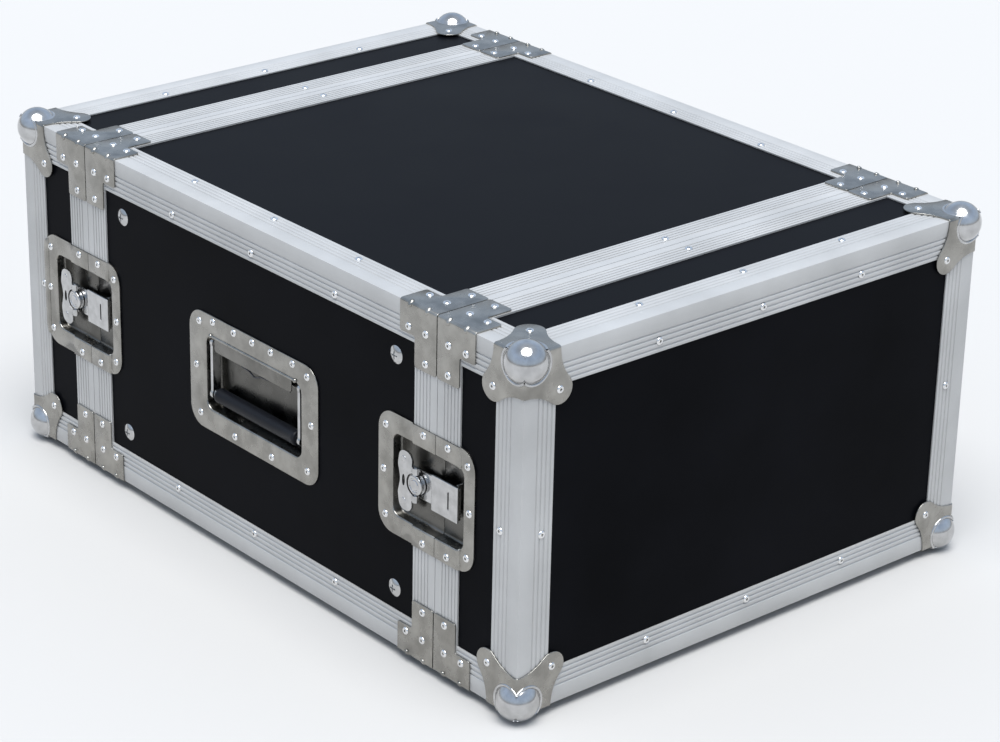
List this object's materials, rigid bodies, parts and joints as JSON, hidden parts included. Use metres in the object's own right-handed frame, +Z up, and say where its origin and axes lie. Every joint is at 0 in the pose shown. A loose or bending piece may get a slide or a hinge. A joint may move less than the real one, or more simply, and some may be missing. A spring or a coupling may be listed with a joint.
{
  "type": "equipment rack case",
  "caption": "Rack case of black laminated plywood in aluminium angles: sleeve body with rack rails, a pull-off lid at each end, twist latches, sprung handles and ball corners.",
  "frame": {"origin": "middle of the case's width and length, at the underside of the lower ball corners", "axes": "+X across the rack to the right, +Y from the front lid to the rear lid, +Z up"},
  "size_m": [0.5378, 0.732, 0.336],
  "materials": {
    "laminated_ply": "black laminate, fine texture",
    "edge_aluminium": "satin anodised, ribbed",
    "plated_steel": "zinc plated, semi-bright",
    "bright_steel": "bright nickel plating",
    "rivet_steel": "bright",
    "spring_steel": "dark oiled wire",
    "rail_black": "black paint",
    "grip_rubber": "smooth black rubber"
  },
  "bodies": {
    "case_body": {"body_brace_corners": "plated_steel", "body_edge_angles": "edge_aluminium", "body_rivets": "rivet_steel", "bottom_panel": "laminated_ply", "handle_dish_left": "plated_steel", "handle_dish_right": "plated_steel", "handle_hinge_rods": "bright_steel", "handle_springs": "spring_steel", "latch_dish_front_left": "plated_steel", "latch_dish_front_right": "plated_steel", "latch_keeper_rear_left": "plated_steel", "latch_keeper_rear_right": "plated_steel", "rack_rails": "rail_black", "rail_bolts": "bright_steel", "rail_nuts": "bright_steel", "side_panel_left": "laminated_ply", "side_panel_right": "laminated_ply", "tongue_frame_front": "edge_aluminium", "tongue_frame_rear": "edge_aluminium", "top_panel": "laminated_ply"},
    "front_lid": {"front_lid_ball_corners": "bright_steel", "front_lid_brace_corners": "plated_steel", "front_lid_cross_angles": "edge_aluminium", "front_lid_face": "laminated_ply", "front_lid_groove_frame": "edge_aluminium", "front_lid_long_angles": "edge_aluminium", "front_lid_rivets": "rivet_steel", "front_lid_side_boards": "laminated_ply", "front_lid_top_bottom_boards": "laminated_ply", "front_lid_upright_angles": "edge_aluminium", "latch_keeper_front_left": "plated_steel", "latch_keeper_front_right": "plated_steel"},
    "rear_lid": {"latch_dish_rear_left": "plated_steel", "latch_dish_rear_right": "plated_steel", "rear_lid_ball_corners": "bright_steel", "rear_lid_brace_corners": "plated_steel", "rear_lid_cross_angles": "edge_aluminium", "rear_lid_face": "laminated_ply", "rear_lid_groove_frame": "edge_aluminium", "rear_lid_long_angles": "edge_aluminium", "rear_lid_rivets": "rivet_steel", "rear_lid_side_boards": "laminated_ply", "rear_lid_top_bottom_boards": "laminated_ply", "rear_lid_upright_angles": "edge_aluminium"},
    "left_handle": {"bail_left": "bright_steel", "grip_left": "grip_rubber"},
    "right_handle": {"bail_right": "bright_steel", "grip_right": "grip_rubber"},
    "twist_front_left": {"latch_post_front_left": "plated_steel"},
    "wing_front_left": {"latch_wing_front_left": "plated_steel"},
    "hook_front_left": {"latch_drawbar_front_left": "plated_steel"},
    "twist_front_right": {"latch_post_front_right": "plated_steel"},
    "wing_front_right": {"latch_wing_front_right": "plated_steel"},
    "hook_front_right": {"latch_drawbar_front_right": "plated_steel"},
    "twist_rear_left": {"latch_post_rear_left": "plated_steel"},
    "wing_rear_left": {"latch_wing_rear_left": "plated_steel"},
    "hook_rear_left": {"latch_drawbar_rear_left": "plated_steel"},
    "twist_rear_right": {"latch_post_rear_right": "plated_steel"},
    "wing_rear_right": {"latch_wing_rear_right": "plated_steel"},
    "hook_rear_right": {"latch_drawbar_rear_right": "plated_steel"}
  },
  "joints": [
    {"name": "front_lid_pull", "type": "slide", "parent": "case_body", "child": "front_lid", "axis": [0, -1, 0], "range_m": [0, 0.15]},
    {"name": "rear_lid_pull", "type": "slide", "parent": "case_body", "child": "rear_lid", "axis": [0, 1, 0], "range_m": [0, 0.15]},
    {"name": "left_handle_swing", "type": "hinge", "parent": "case_body", "child": "left_handle", "pos_m": [-0.2535, 0, 0.196], "axis": [0, 1, 0], "range_deg": [0, 90], "stiffness_Nm_per_rad": 0.12, "springref_deg": -28.65},
    {"name": "right_handle_swing", "type": "hinge", "parent": "case_body", "child": "right_handle", "pos_m": [0.2535, 0, 0.196], "axis": [0, -1, 0], "range_deg": [0, 90], "stiffness_Nm_per_rad": 0.12, "springref_deg": -28.65},
    {"name": "front_left_twist", "type": "hinge", "parent": "case_body", "child": "twist_front_left", "pos_m": [-0.255, -0.225, 0.168], "axis": [-1, 0, 0], "range_deg": [0, 180]},
    {"name": "front_left_wing_fold", "type": "hinge", "parent": "twist_front_left", "child": "wing_front_left", "pos_m": [-0.2594, -0.225, 0.168], "axis": [0, 0, 1], "range_deg": [0, 90]},
    {"name": "front_left_hook_draw", "type": "slide", "parent": "case_body", "child": "hook_front_left", "axis": [0.5655, 0.8247, 0], "range_m": [0, 0.00425]},
    {"name": "front_right_twist", "type": "hinge", "parent": "case_body", "child": "twist_front_right", "pos_m": [0.255, -0.225, 0.168], "axis": [1, 0, 0], "range_deg": [0, 180]},
    {"name": "front_right_wing_fold", "type": "hinge", "parent": "twist_front_right", "child": "wing_front_right", "pos_m": [0.2594, -0.225, 0.168], "axis": [0, 0, -1], "range_deg": [0, 90]},
    {"name": "front_right_hook_draw", "type": "slide", "parent": "case_body", "child": "hook_front_right", "axis": [-0.5655, 0.8247, 0], "range_m": [0, 0.00425]},
    {"name": "rear_left_twist", "type": "hinge", "parent": "rear_lid", "child": "twist_rear_left", "pos_m": [-0.255, 0.279, 0.168], "axis": [-1, 0, 0], "range_deg": [0, 180]},
    {"name": "rear_left_wing_fold", "type": "hinge", "parent": "twist_rear_left", "child": "wing_rear_left", "pos_m": [-0.2594, 0.279, 0.168], "axis": [0, 0, 1], "range_deg": [0, 90]},
    {"name": "rear_left_hook_draw", "type": "slide", "parent": "rear_lid", "child": "hook_rear_left", "axis": [0.5655, 0.8247, 0], "range_m": [0, 0.00425]},
    {"name": "rear_right_twist", "type": "hinge", "parent": "rear_lid", "child": "twist_rear_right", "pos_m": [0.255, 0.279, 0.168], "axis": [1, 0, 0], "range_deg": [0, 180]},
    {"name": "rear_right_wing_fold", "type": "hinge", "parent": "twist_rear_right", "child": "wing_rear_right", "pos_m": [0.2594, 0.279, 0.168], "axis": [0, 0, -1], "range_deg": [0, 90]},
    {"name": "rear_right_hook_draw", "type": "slide", "parent": "rear_lid", "child": "hook_rear_right", "axis": [-0.5655, 0.8247, 0], "range_m": [0, 0.00425]}
  ],
  "couplings": [
    {"joint": "front_left_hook_draw", "follows": "front_left_twist", "m_per_rad": 0.0013506},
    {"joint": "front_right_hook_draw", "follows": "front_right_twist", "m_per_rad": 0.0013506},
    {"joint": "rear_left_hook_draw", "follows": "rear_left_twist", "m_per_rad": 0.0013506},
    {"joint": "rear_right_hook_draw", "follows": "rear_right_twist", "m_per_rad": 0.0013506}
  ]
}
